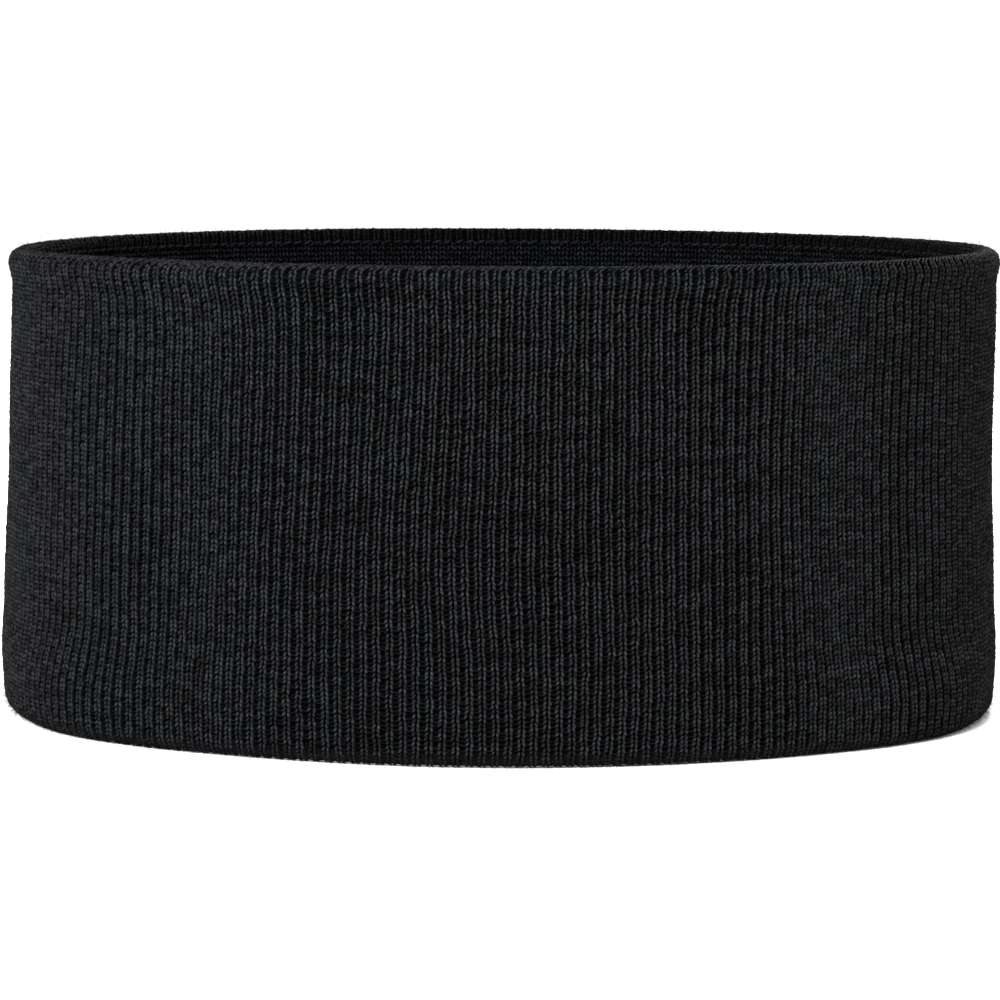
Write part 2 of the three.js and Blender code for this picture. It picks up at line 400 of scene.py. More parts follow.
def build_lay_group():
    """Geometry nodes that lay one piece of yarn on every guide point, facing the way it says."""
    tree = bpy.data.node_groups.new("Lay along the knit", "GeometryNodeTree")
    for label, kind in (
        ("Guide", "Geometry"), ("Piece", "Object"), ("Finish", "Material"), ("Share", "Float"),
        ("Tilt", "Vector"), ("Stray", "Vector"), ("Smallest", "Float"), ("Largest", "Float"),
        ("Flat scale", "Vector"), ("Bead depth", "Float"), ("Wander", "Float"), ("Seed", "Int"),
    ):
        tree.interface.new_socket(label, in_out="INPUT", socket_type="NodeSocket" + kind)
    tree.interface.new_socket("Yarn", in_out="OUTPUT", socket_type="NodeSocketGeometry")
    nodes, links = tree.nodes, tree.links
    given = nodes.new("NodeGroupInput").outputs
    result = nodes.new("NodeGroupOutput")

    def node(kind, **settings):
        made = nodes.new(kind)
        for key, value in settings.items():
            setattr(made, key, value)
        return made

    def named(name, kind="FLOAT_VECTOR"):
        found = node("GeometryNodeInputNamedAttribute", data_type=kind)
        found.inputs["Name"].default_value = name
        return found.outputs["Attribute"]

    def store(geometry, name, value, kind, domain):
        made = node("GeometryNodeStoreNamedAttribute", data_type=kind, domain=domain)
        made.inputs["Name"].default_value = name
        links.new(geometry, made.inputs["Geometry"])
        links.new(value, made.inputs["Value"])
        return made.outputs[0]

    def vector_maths(operation, a, b):
        made = node("ShaderNodeVectorMath", operation=operation)
        links.new(a, made.inputs[0])
        links.new(b, made.inputs["Scale"] if operation == "SCALE" else made.inputs[1])
        return made.outputs[0]

    def seeded(step):
        made = node("ShaderNodeMath", operation="ADD")
        made.inputs[1].default_value = step
        links.new(given["Seed"], made.inputs[0])
        return made.outputs[0]

    def spread(limit, step):
        """A random vector between minus the limit and the limit."""
        below = node("ShaderNodeVectorMath", operation="SCALE")
        below.inputs["Scale"].default_value = -1
        links.new(limit, below.inputs[0])
        draw = node("FunctionNodeRandomValue", data_type="FLOAT_VECTOR")
        links.new(below.outputs[0], draw.inputs[0])
        links.new(limit, draw.inputs[1])
        links.new(seeded(step), draw.inputs["Seed"])
        return draw.outputs[0]

    info = node("GeometryNodeObjectInfo")
    links.new(given["Piece"], info.inputs["Object"])
    position = node("GeometryNodeInputPosition").outputs[0]
    shape = store(info.outputs["Geometry"], "local", position, "FLOAT_VECTOR", "POINT")
    # How near each point of the piece lies to its crest, which the yarn finishes turn into painted
    # shade lower down.
    apart = node("ShaderNodeSeparateXYZ")
    links.new(position, apart.inputs[0])
    rise = node("ShaderNodeMapRange")
    links.new(apart.outputs["Z"], rise.inputs["Value"])
    sunk = node("ShaderNodeMath", operation="MULTIPLY")
    sunk.inputs[1].default_value = -1
    links.new(given["Bead depth"], sunk.inputs[0])
    links.new(sunk.outputs[0], rise.inputs["From Min"])
    rise.inputs["From Max"].default_value = 0
    shape = store(shape, "crest", rise.outputs[0], "FLOAT", "POINT")

    chosen = node("FunctionNodeRandomValue", data_type="BOOLEAN")
    links.new(given["Share"], chosen.inputs["Probability"])
    links.new(seeded(1), chosen.inputs["Seed"])
    facing = node("FunctionNodeAxesToRotation", primary_axis="Z", secondary_axis="Y")
    links.new(named("out"), facing.inputs["Primary Axis"])
    links.new(named("up"), facing.inputs["Secondary Axis"])
    size = node("FunctionNodeRandomValue", data_type="FLOAT")
    links.new(given["Smallest"], size.inputs[2])
    links.new(given["Largest"], size.inputs[3])
    links.new(seeded(2), size.inputs["Seed"])

    laid = node("GeometryNodeInstanceOnPoints")
    links.new(given["Guide"], laid.inputs["Points"])
    links.new(chosen.outputs[3], laid.inputs["Selection"])
    links.new(shape, laid.inputs["Instance"])
    links.new(facing.outputs[0], laid.inputs["Rotation"])
    links.new(vector_maths("SCALE", named("fit"), size.outputs[1]), laid.inputs["Scale"])
    turn = node("FunctionNodeEulerToRotation")
    links.new(spread(given["Tilt"], 3), turn.inputs[0])
    turned = node("GeometryNodeRotateInstances")
    links.new(laid.outputs[0], turned.inputs["Instances"])
    links.new(turn.outputs[0], turned.inputs["Rotation"])
    moved = node("GeometryNodeTranslateInstances")
    links.new(turned.outputs[0], moved.inputs["Instances"])
    links.new(spread(given["Stray"], 4), moved.inputs["Translation"])
    tone = node("FunctionNodeRandomValue", data_type="FLOAT")
    links.new(seeded(5), tone.inputs["Seed"])
    toned = store(moved.outputs[0], "tone", tone.outputs[1], "FLOAT", "INSTANCE")

    real = node("GeometryNodeRealizeInstances")
    links.new(toned, real.inputs[0])
    local = vector_maths("MULTIPLY", named("local"), given["Flat scale"])
    laid_flat = vector_maths("ADD", named("flat"), local)
    mapped = store(real.outputs[0], FLAT_MAP, laid_flat, "FLOAT2", "CORNER")
    lumps = node("ShaderNodeTexNoise")
    lumps.inputs["Scale"].default_value = LUMPS_PER_METRE
    lumps.inputs["Detail"].default_value = 1
    centred = node("ShaderNodeVectorMath", operation="SUBTRACT")
    centred.inputs[1].default_value = (0.5, 0.5, 0.5)
    links.new(lumps.outputs["Color"], centred.inputs[0])
    uneven = node("GeometryNodeSetPosition")
    links.new(mapped, uneven.inputs["Geometry"])
    wandering = vector_maths("SCALE", centred.outputs[0], given["Wander"])
    links.new(wandering, uneven.inputs["Offset"])
    finish = node("GeometryNodeSetMaterial")
    links.new(uneven.outputs[0], finish.inputs["Geometry"])
    links.new(given["Finish"], finish.inputs["Material"])
    links.new(finish.outputs[0], result.inputs[0])
    return tree


def make_guide(name, place, shade, **ways):
    """Guide points, each with its ways out and up, its flat place, its fit and its painted shade."""
    mesh = bpy.data.meshes.new(name)
    mesh.vertices.add(len(place))
    mesh.vertices.foreach_set("co", place.astype(np.float32).ravel())
    for key, value in ways.items():
        layer = mesh.attributes.new(key, "FLOAT_VECTOR", "POINT")
        layer.data.foreach_set("vector", np.broadcast_to(value, place.shape).astype(np.float32).ravel())
    layer = mesh.attributes.new("shade", "FLOAT", "POINT")
    layer.data.foreach_set("value", np.broadcast_to(shade, len(place)).astype(np.float32))
    return mesh


def flat_share(values):
    """How far across the flat map each value lies, within the map's margins."""
    least = values.min()
    return FLAT_MARGIN + FLAT_SPAN * (values - least) / (values.max() + 1e-9 - least)


def band_guide(name, girth, along, line=OUTER, depth=0.0):
    """Guide points on the band's outer knit or lining."""
    step = 0.1 * MM
    length = line["at"][-1]
    place = on_band(girth, along, depth, line)
    after = on_band(girth + step, along, depth, line)
    before = on_band(girth - step, along, depth, line)
    low = np.clip(along - step, 0, length)
    high = np.clip(along + step, 0, length)
    wale = on_band(girth, high, depth, line) - on_band(girth, low, depth, line)
    stretch = np.linalg.norm(wale, axis=-1) / (high - low)
    up = -wale if line is OUTER else wale
    fit = np.ones_like(place)
    shade = 1.0
    if line is OUTER:
        fit[:, 0] = np.clip(KEPT_WIDTH_STRETCH / stretch, NARROWEST_STITCH, 1)
        fit[:, 1] = np.clip(stretch, 1, LONGEST_STITCH)
        hem_fade = [length - from_linking for from_linking in HEM_SHADE_FADE]
        # Painted shade: the knit's colour is darkened inside the rim's fold and where it turns under at
        # the hem.
        shade = 1 - INNER_SHADE * soft_fall(along, *INNER_SHADE_FADE)
        shade *= 1 - HEM_SHADE * soft_step(along, *hem_fade)
    flat = np.stack([flat_share(girth), flat_share(along), np.zeros_like(along)], -1)
    out = unit(np.cross(after - before, up))
    return make_guide(name, place, shade, out=out, up=unit(up), flat=flat, fit=fit)


def crossings(girth, along):
    """Every crossing of the given wales and courses."""
    girth, along = np.meshgrid(girth, along)
    return girth.ravel(), along.ravel()


def lay(name, guide, piece, finish, seed, share=1.0, tilt=(0, 0, 0), stray=(0, 0, 0),
        smallest=0.95, largest=1.05, flat_scale=(0, 0, 0), bead_depth=0.55 * MM, wander=0.0):
    """Lays a piece on every guide point and returns the result as one plain mesh object."""
    holder = add_object(name + "_guide", guide)
    modifier = holder.modifiers.new("Lay", "NODES")
    modifier.node_group = lay_group
    keys = {item.name: item.identifier for item in lay_group.interface.items_tree}
    settings = {
        "Piece": piece,
        "Finish": finish,
        "Share": float(share),
        "Tilt": tuple(float(v) for v in tilt),
        "Stray": tuple(float(v) for v in stray),
        "Smallest": float(smallest),
        "Largest": float(largest),
        "Flat scale": tuple(float(v) for v in flat_scale),
        "Bead depth": float(bead_depth),
        "Wander": float(wander),
        "Seed": int(seed),
    }
    for label, value in settings.items():
        modifier[keys[label]] = value
    depsgraph = bpy.context.evaluated_depsgraph_get()
    mesh = bpy.data.meshes.new_from_object(
        holder.evaluated_get(depsgraph), preserve_all_data_layers=True, depsgraph=depsgraph
    )
    bpy.data.objects.remove(holder)
    mesh.name = name
    return add_object(name, mesh)


# ------------------------------------------------------------------ finishes
CLOUDS_PER_METRE = 55.0  # how large the soft clouds of lighter and darker yarn are
PAINTED_SHADE_FALLOFF = 2.4  # how fast the painted shade darkens the yarn from its crest down
DARKEST_FLECK = 0.15
YARN_FUZZ = 0.12 * MM  # how far the fibres stand up from the yarn
SATIN_FUZZ = 0.08 * MM
SATIN_FLOATS = (900, 900, 5200)  # the weave is finer up the ribbon than across it


def build_yarn_group():
    """Colour, roughness and fibre height of spun yarn, with a tone of its own for each stitch, darkened
    by painted shade below its crest and where the guide's shade says.
    """
    tree = bpy.data.node_groups.new("Spun yarn", "ShaderNodeTree")
    for label, kind in (
        ("Colour", "Color"), ("Stitch variation", "Float"), ("Cloud variation", "Float"),
        ("Fibre scale", "Float"), ("Painted deep shade", "Color"),
    ):
        tree.interface.new_socket(label, in_out="INPUT", socket_type="NodeSocket" + kind)
    for label, kind in (("Colour", "Color"), ("Roughness", "Float"), ("Height", "Float")):
        tree.interface.new_socket(label, in_out="OUTPUT", socket_type="NodeSocket" + kind)
    nodes, links = tree.nodes, tree.links
    given = nodes.new("NodeGroupInput").outputs
    result = nodes.new("NodeGroupOutput").inputs
    place = nodes.new("ShaderNodeTexCoord")

    def noise(scale, detail):
        made = nodes.new("ShaderNodeTexNoise")
        made.inputs["Detail"].default_value = detail
        links.new(place.outputs["Object"], made.inputs["Vector"])
        if isinstance(scale, (int, float)):
            made.inputs["Scale"].default_value = scale
        else:
            links.new(scale, made.inputs["Scale"])
        return made.outputs["Fac"]

    def maths(operation, *values):
        made = nodes.new("ShaderNodeMath")
        made.operation = operation
        for slot, value in enumerate(values):
            if isinstance(value, (int, float)):
                made.inputs[slot].default_value = value
            else:
                links.new(value, made.inputs[slot])
        return made.outputs[0]

    def attribute(name):
        found = nodes.new("ShaderNodeAttribute")
        found.attribute_name = name
        return found.outputs["Fac"]

    stitch = maths("SUBTRACT", attribute("tone"), 0.5)
    stitch = maths("MULTIPLY_ADD", stitch, given["Stitch variation"], 1.0)
    cloud = maths("SUBTRACT", noise(CLOUDS_PER_METRE, 3.0), 0.5)
    cloud = maths("MULTIPLY_ADD", cloud, given["Cloud variation"], 1.0)
    fibre = noise(given["Fibre scale"], 2.0)
    fleck = maths("MAXIMUM", maths("MULTIPLY_ADD", fibre, 3.4, -0.7), DARKEST_FLECK)
    gain = maths("MULTIPLY", maths("MULTIPLY", stitch, cloud), fleck)
    # Painted shade that the guide points carry, darker inside the rim's fold and at the hem.
    gain = maths("MULTIPLY", gain, attribute("shade"))
    # Painted shade: below its crest the yarn's colour sinks towards the painted deep shade.
    depth = nodes.new("ShaderNodeMix")
    depth.data_type = "RGBA"
    links.new(maths("POWER", attribute("crest"), PAINTED_SHADE_FALLOFF), depth.inputs["Factor"])
    links.new(given["Painted deep shade"], depth.inputs["A"])
    links.new(given["Colour"], depth.inputs["B"])
    colour = nodes.new("ShaderNodeVectorMath")
    colour.operation = "SCALE"
    links.new(depth.outputs["Result"], colour.inputs[0])
    links.new(gain, colour.inputs["Scale"])
    links.new(colour.outputs[0], result["Colour"])
    links.new(maths("MULTIPLY_ADD", fibre, 0.25, 0.68), result["Roughness"])
    links.new(fibre, result["Height"])
    return tree


def yarn_finish(name, colour, deep, stitch=0.9, cloud=0.12, fibre=3700.0, specular=0.02, bump=0.18):
    """A finish of spun yarn: the colour of its crest, the painted shade it sinks to in its depth, and
    how uneven it is.
    """
    material = bpy.data.materials.new(name)
    material.use_nodes = True
    nodes, links = material.node_tree.nodes, material.node_tree.links
    shader = nodes["Principled BSDF"]
    yarn = nodes.new("ShaderNodeGroup")
    yarn.node_tree = yarn_group
    yarn.inputs["Colour"].default_value = (*colour, 1)
    yarn.inputs["Stitch variation"].default_value = stitch
    yarn.inputs["Cloud variation"].default_value = cloud
    yarn.inputs["Fibre scale"].default_value = fibre
    yarn.inputs["Painted deep shade"].default_value = (*deep, 1)
    raised = nodes.new("ShaderNodeBump")
    raised.inputs["Strength"].default_value = bump
    raised.inputs["Distance"].default_value = YARN_FUZZ
    links.new(yarn.outputs["Height"], raised.inputs["Height"])
    links.new(yarn.outputs["Colour"], shader.inputs["Base Color"])
    links.new(yarn.outputs["Roughness"], shader.inputs["Roughness"])
    links.new(raised.outputs["Normal"], shader.inputs["Normal"])
    shader.inputs["Specular IOR Level"].default_value = specular
    return material


def build_satin_finish():
    """Pale grey satin ribbon: a fine weave with its floats lying along the ribbon's width."""
    material = bpy.data.materials.new("Pale satin")
    material.use_nodes = True
    nodes, links = material.node_tree.nodes, material.node_tree.links
    shader = nodes["Principled BSDF"]
    place = nodes.new("ShaderNodeTexCoord")
    spread = nodes.new("ShaderNodeVectorMath")
    spread.operation = "MULTIPLY"
    spread.inputs[1].default_value = SATIN_FLOATS
    links.new(place.outputs["Object"], spread.inputs[0])
    floats = nodes.new("ShaderNodeTexNoise")
    floats.inputs["Scale"].default_value = 1.0
    floats.inputs["Detail"].default_value = 2.0
    links.new(spread.outputs[0], floats.inputs["Vector"])
    wear = nodes.new("ShaderNodeTexNoise")
    wear.inputs["Scale"].default_value = 160.0
    wear.inputs["Detail"].default_value = 4.0
    links.new(place.outputs["Object"], wear.inputs["Vector"])
    both = nodes.new("ShaderNodeMix")
    both.data_type = "RGBA"
    both.inputs["A"].default_value = (0.30, 0.30, 0.29, 1)
    both.inputs["B"].default_value = (0.42, 0.42, 0.41, 1)
    links.new(wear.outputs["Fac"], both.inputs["Factor"])
    raised = nodes.new("ShaderNodeBump")
    raised.inputs["Strength"].default_value = 0.35
    raised.inputs["Distance"].default_value = SATIN_FUZZ
    links.new(floats.outputs["Fac"], raised.inputs["Height"])
    links.new(both.outputs["Result"], shader.inputs["Base Color"])
    links.new(raised.outputs["Normal"], shader.inputs["Normal"])
    shader.inputs["Roughness"].default_value = 0.42
    shader.inputs["Specular IOR Level"].default_value = 0.45
    return material


lay_group = build_lay_group()
yarn_group = build_yarn_group()
# The second colour of each yarn is its painted deep shade, which it takes on below its crest.
rib_yarn = yarn_finish("Ribbed knit yarn", (0.0115, 0.0120, 0.0127), (0.0010, 0.0011, 0.0014))
# The cloth in the gaps is painted darker than the stitches, as painted shade down between them.
shaded_gap_yarn = yarn_finish(
    "Yarn in the gaps, in painted shade", (0.0065, 0.0069, 0.0078), (0.0005, 0.0006, 0.0008), stitch=0.0, specular=0.0
)
lining_yarn = yarn_finish("Lining yarn", (0.0150, 0.0158, 0.0178), (0.0046, 0.0051, 0.0063))
thread_finish = yarn_finish(
    "Linking thread", (0.021, 0.0218, 0.0236), (0.004, 0.0045, 0.0055), specular=0.05
)
dark_thread_finish = yarn_finish(
    "Dark seam thread", (0.0050, 0.0052, 0.0056), (0.0010, 0.0011, 0.0013), specular=0.02
)
fibre_finish = yarn_finish("Loose fibres", (0.022, 0.0225, 0.0235), (0.022, 0.0225, 0.0235))
satin_finish = build_satin_finish()

# ------------------------------------------------------------------ yarn shapes
# A section is (share of the half width, share of the depth) from one foot to the other. A ring is
# (x across the wale, y up it, z out of the cloth, half width, depth), in millimetres.
YARN_SECTION = [(-1.0, 1.0), (-0.52, 0.0), (0.52, 0.0), (1.0, 1.0)]
BAR_SECTION = [(-1.0, 1.0), (0.0, 0.0), (1.0, 1.0)]

right_leg = [
    (0.52, -0.54, -0.24, 0.24, 0.40),
    (0.49, -0.17, 0.00, 0.36, 0.50),
    (0.42, 0.18, -0.01, 0.35, 0.50),
    (0.36, 0.55, -0.24, 0.22, 0.40),
]
left_leg = [
    (-0.66, -0.47, -0.30, 0.23, 0.40),
    (-0.51, -0.16, -0.02, 0.36, 0.50),
    (-0.39, 0.17, 0.00, 0.34, 0.50),
    (-0.30, 0.50, -0.28, 0.21, 0.40),
]
purl_bar = [
    (-0.64, -0.44, -0.24, 0.23, 0.30),
    (-1.20, -0.42, -0.37, 0.22, 0.30),
    (-1.78, -0.38, -0.28, 0.21, 0.30),
]
rib_stitch = template(
    "rib_stitch",
    join([
        strand(in_mm(left_leg), YARN_SECTION),
        strand(in_mm(right_leg), YARN_SECTION),
        crossing_strand(in_mm(purl_bar[::-1]), BAR_SECTION),
    ]),
)
lining_legs = [
    [
        (side * 0.74, -0.22, -0.34, 0.26, 0.34),
        (side * 0.42, 0.02, 0.00, 0.40, 0.40),
        (side * 0.12, 0.24, -0.34, 0.26, 0.34),
    ]
    for side in (-1, 1)
]
lining_stitch = template(
    "lining_stitch",
    join([
        crossing_strand(in_mm(lining_legs[0]), BAR_SECTION),
        crossing_strand(in_mm(lining_legs[1][::-1]), BAR_SECTION),
    ]),
)
link_bead = [
    (-1.00, -0.22, -0.40, 0.18, 0.40),
    (-0.55, -0.10, 0.02, 0.30, 0.46),
    (0.10, 0.06, 0.06, 0.32, 0.46),
    (0.60, 0.18, 0.00, 0.27, 0.46),
    (1.00, 0.26, -0.42, 0.16, 0.40),
]
link_stitch = template("link_stitch", crossing_strand(in_mm(link_bead), YARN_SECTION))
seam_bar = [
    (-0.80, -0.30, -0.45, 0.14, 0.30),
    (-0.35, -0.14, 0.02, 0.20, 0.32),
    (0.35, 0.14, 0.02, 0.20, 0.32),
    (0.80, 0.30, -0.45, 0.14, 0.30),
]
seam_stitch = template("seam_stitch", crossing_strand(in_mm(seam_bar), YARN_SECTION))
running_bead = [
    (-1.05, 0.0, -0.45, 0.16, 0.30),
    (-0.70, 0.0, 0.00, 0.24, 0.36),
    (0.70, 0.0, 0.00, 0.24, 0.36),
    (1.05, 0.0, -0.45, 0.16, 0.30),
]
running_stitch = template("running_stitch", crossing_strand(in_mm(running_bead), YARN_SECTION))
fibre_path = in_mm([(0, 0, -0.3), (0.04, 0.05, 0.25), (0.22, 0.16, 0.66), (0.52, 0.20, 0.86)])
loose_fibre = template(
    "loose_fibre", closed_strand(fibre_path, [0, 0.030 * MM, 0.022 * MM, 0])
)

# ------------------------------------------------------------------ outer knit
# The wales are offset by half a rib, so that the back seam falls in a gap between two ribs.
rib_girths = (np.arange(RIBS) + 0.5) * RIB_PITCH

along_line = np.linspace(0, OUTER_LENGTH, 4000)
lean_slope = np.gradient(rim_lean(0.0, along_line), along_line)
wale_length = np.concatenate([[0], np.cumsum(np.hypot(1, lean_slope[1:]) * np.diff(along_line))])
courses = int(wale_length[-1] / COURSE)
course_lines = np.interp(
    (np.arange(courses) + 0.5) * wale_length[-1] / courses, wale_length, along_line
)


CLOTH_EDGE = 12 * MM  # length of the cloth in each rolled edge
CLOTH_EDGE_ROWS = 17
CLOTH_MIDDLE_ROWS = 38
GAP_OPENS = (0.6 * MM, 4.0 * MM)  # heights from a rim between which the gaps of the ribs open
FUZZY_HEM = (1.5 * MM, 4.0 * MM)  # heights between which the pale fuzz of the hem, which lifts the cloth out of its painted shade, fades out


def oval_ring(girth, inset, height):
    """Points at one distance in from the widest oval, at one height."""
    angle = angle_at(girth)
    across = unit(np.stack([np.sin(angle) / HALF_WIDTH, -np.cos(angle) / HALF_DEPTH], -1))
    x = HALF_WIDTH * np.sin(angle) - inset * across[:, 0]
    y = -HALF_DEPTH * np.cos(angle) - inset * across[:, 1]
    return np.stack([x, y, np.full_like(x, height)], -1)


def build_outer_cloth():
    """The ribbed cloth below the stitches: a closed skin that also turns in behind the wall."""
    offsets = np.array([-0.5, -0.2, 0.0, 0.2]) * RIB_PITCH
    girth = (rib_girths[:, None] + offsets[None, :]).ravel()
    gap = np.tile([1.0, 0.0, 0.75, 0.0], RIBS)
    edge = np.linspace(0, CLOTH_EDGE, CLOTH_EDGE_ROWS)
    middle = np.linspace(CLOTH_EDGE, OUTER_LENGTH - CLOTH_EDGE, CLOTH_MIDDLE_ROWS + 2)[1:-1]
    along = np.concatenate([edge, middle, OUTER_LENGTH - edge[::-1]])
    height = np.interp(along, OUTER["at"], OUTER["place"][:, 1])
    open_gap = soft_step(np.minimum(height, HEIGHT - height), *GAP_OPENS)[:, None]
    depth = (0.14 + 0.44 * open_gap + gap * (0.04 + 0.52 * open_gap)) * MM
    face = on_band(girth[None, :], along[:, None], depth)
    inside = [
        (4.3 * MM, 2.4 * MM),
        (2.8 * MM, 2.3 * MM),
        (2.5 * MM, 10 * MM),
        (2.6 * MM, 24 * MM),
        (3.2 * MM, 0.50 * HEIGHT),
        (3.3 * MM, 0.72 * HEIGHT),
        (3.4 * MM, HEIGHT - 7 * MM),
        (3.2 * MM, HEIGHT - 2.3 * MM),
        (4.3 * MM, HEIGHT - 2.4 * MM),
    ]
    back = np.array([oval_ring(girth, *place) for place in inside])
    fuzzy = 0.4 * soft_fall(height, *FUZZY_HEM)[:, None]
    # Painted shade: the cloth darkens down in the gaps and where the gaps open, less where the hem is
    # fuzzy, and fully on the side turned in behind the wall.
    crest = np.concatenate([0.35 + fuzzy - 0.15 * open_gap - 0.12 * gap, np.zeros(back.shape[:2])])
    mesh = closed_grid("outer_cloth", np.concatenate([face, back]), crest)
    mesh.materials.append(shaded_gap_yarn)
    return add_object("outer_cloth", mesh)


outer_cloth = build_outer_cloth()
ribs_each = RIBS // SECTORS
outer_flat_scale = (FLAT_SPAN / (ribs_each * RIB_PITCH), -FLAT_SPAN / OUTER_LENGTH, 0)
rib_starts = np.random.RandomState(5).uniform(-0.25, 0.25, RIBS) * COURSE
outer_stitches = []
for sector in range(SECTORS):
    ribs = slice(sector * ribs_each, (sector + 1) * ribs_each)
    girths, alongs = crossings(rib_girths[ribs], course_lines)
    alongs = np.clip(alongs + np.tile(rib_starts[ribs], courses), 0, OUTER_LENGTH)
    guide = band_guide(f"rib_guide_{sector + 1}", girths, alongs)
    outer_stitches.append(
        lay(
            f"outer_stitches_{sector + 1}", guide, rib_stitch, rib_yarn, seed=10 + sector,
            tilt=(0.16, 0.12, 0.16), stray=(0.06 * MM, 0.07 * MM, 0.06 * MM),
            smallest=0.90, largest=1.08, flat_scale=outer_flat_scale, wander=0.14 * MM,
        )
    )

# ------------------------------------------------------------------ lining
LINING_CLOTH_DEPTH = 0.35 * MM  # from the tops of the lining's stitches to its cloth


def build_lining_cloth():
    """The cloth below the lining's stitches: a closed skin."""
    girth = np.arange(LINING_COLUMNS) * LINING_PITCH
    face_lines = np.linspace(0, LINING_LENGTH, 30)
    back_lines = np.linspace(LINING_LENGTH, 0, 7)
    face = on_band(girth[None, :], face_lines[:, None], LINING_CLOTH_DEPTH, LINING)
    back = on_band(girth[None, :], back_lines[:, None], LINING_THICKNESS, LINING)
    # Painted shade: the lining's cloth lies mostly in its painted deep shade, and fully on its back.
    crest = np.concatenate([np.full(face.shape[:2], 0.4), np.zeros(back.shape[:2])])
    mesh = closed_grid("lining_cloth", np.concatenate([face, back]), crest)
    mesh.materials.append(shaded_gap_yarn)
    return add_object("lining_cloth", mesh)


lining_cloth = build_lining_cloth()
lining_rows = int(LINING_LENGTH / LINING_COURSE)
lining_lines = (np.arange(lining_rows) + 0.5) * LINING_LENGTH / lining_rows
columns_each = LINING_COLUMNS // LINING_SECTORS
lining_flat_scale = (-FLAT_SPAN / (columns_each * LINING_PITCH), FLAT_SPAN / LINING_LENGTH, 0)
lining_stitches = []
for sector in range(LINING_SECTORS):
    girths = (sector * columns_each + np.arange(columns_each)) * LINING_PITCH
    guide = band_guide(f"lining_guide_{sector + 1}", *crossings(girths, lining_lines), LINING)
    lining_stitches.append(
        lay(
            f"lining_stitches_{sector + 1}", guide, lining_stitch, lining_yarn, seed=40 + sector,
            tilt=(0.15, 0.15, 0.20), stray=(0.08 * MM, 0.08 * MM, 0.06 * MM), smallest=0.85,
            flat_scale=lining_flat_scale, bead_depth=0.45 * MM, wander=0.16 * MM,
        )
    )

# ------------------------------------------------------------------ linking seams and back seams
LINK_FROM_EDGE = 0.35 * MM  # from the knit's turned-in edge to the row that links it to the lining
SEAM_STEP = 0.95 * MM
LINING_SEAM_SLANT = 8.0 * MM  # how far the lining's seam runs to the side under the rim
LINING_SEAM_SLANT_HEIGHTS = (78 * MM, 89 * MM)
GIRTH_PER_LINING = 1.055  # length round the widest oval for each length round the lining's back


def add_thread(name, node, guide, piece, seed, finish=thread_finish, **settings):
    """Stitches of thread that stand for a seam's node."""
    thread = lay(name, guide, piece, finish, seed, **settings)
    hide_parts(node)
    return thread


def add_linking(name, node, along, seed):
    """The row of stitches, one for each rib, that links a turned-in edge to the lining."""
    girths, alongs = crossings(rib_girths, [along])
    return add_thread(
        name, node, band_guide(name + "_guide", girths, alongs, depth=-0.1 * MM), link_stitch,
        seed, tilt=(0.1, 0.1, 0.12), stray=(0.08 * MM, 0.05 * MM, 0.03 * MM),
        flat_scale=(FLAT_SPAN / GIRTH, 20.0, 0),
    )


upper_linking = add_linking("upper_linking", "top_link_seam", LINK_FROM_EDGE, 60)
lower_linking = add_linking(
    "lower_linking", "bottom_link_seam", OUTER_LENGTH - LINK_FROM_EDGE, 61
)
seam_along = np.arange(10.5 * MM, OUTER_LENGTH - 10 * MM, SEAM_STEP)
outer_back_seaming = add_thread(
    "outer_back_seaming", "outer_back_seam",
    band_guide(
        "outer_seam_guide", np.full_like(seam_along, GIRTH / 2), seam_along, depth=0.30 * MM
    ),
    seam_stitch, seed=62, tilt=(0.06, 0.06, 0.10), stray=(0.03 * MM, 0.03 * MM, 0.03 * MM),
    flat_scale=(20.0, -0.9 / OUTER_LENGTH, 0),
)
lining_seam_along = np.arange(2.8 * MM, LINING_LENGTH - 2.5 * MM, SEAM_STEP)
seam_heights = np.interp(lining_seam_along, LINING["at"], LINING["place"][:, 1])
slant = LINING_SEAM_SLANT * soft_step(seam_heights, *LINING_SEAM_SLANT_HEIGHTS)
lining_seam_middle = (lining_seam_low.x + lining_seam_high.x) / 2
lining_seam_girth = GIRTH / 2 - (lining_seam_middle * GIRTH_PER_LINING - slant)
lining_back_seaming = add_thread(
    "lining_back_seaming", "lining_back_seam",
    band_guide("lining_seam_guide", lining_seam_girth, lining_seam_along, LINING, depth=-0.05 * MM),
    seam_stitch, seed=63, tilt=(0.06, 0.06, 0.10), stray=(0.03 * MM, 0.03 * MM, 0.03 * MM),
    flat_scale=(20.0, 0.9 / LINING_LENGTH, 0), finish=dark_thread_finish,
)

# ------------------------------------------------------------------ care label
LABEL_BODY = 0.34 * MM
LABEL_WAVE = 0.22 * MM  # how far the ribbon waves across its width
LABEL_CURL = 0.55 * MM  # how far its free end curls
LABEL_TWIST = 0.25 * MM
LABEL_WAIST = 0.012  # how much narrower it is halfway down
LABEL_TAKEN_UP = 0.995  # length that is left once it waves
LABEL_STITCHES = 10


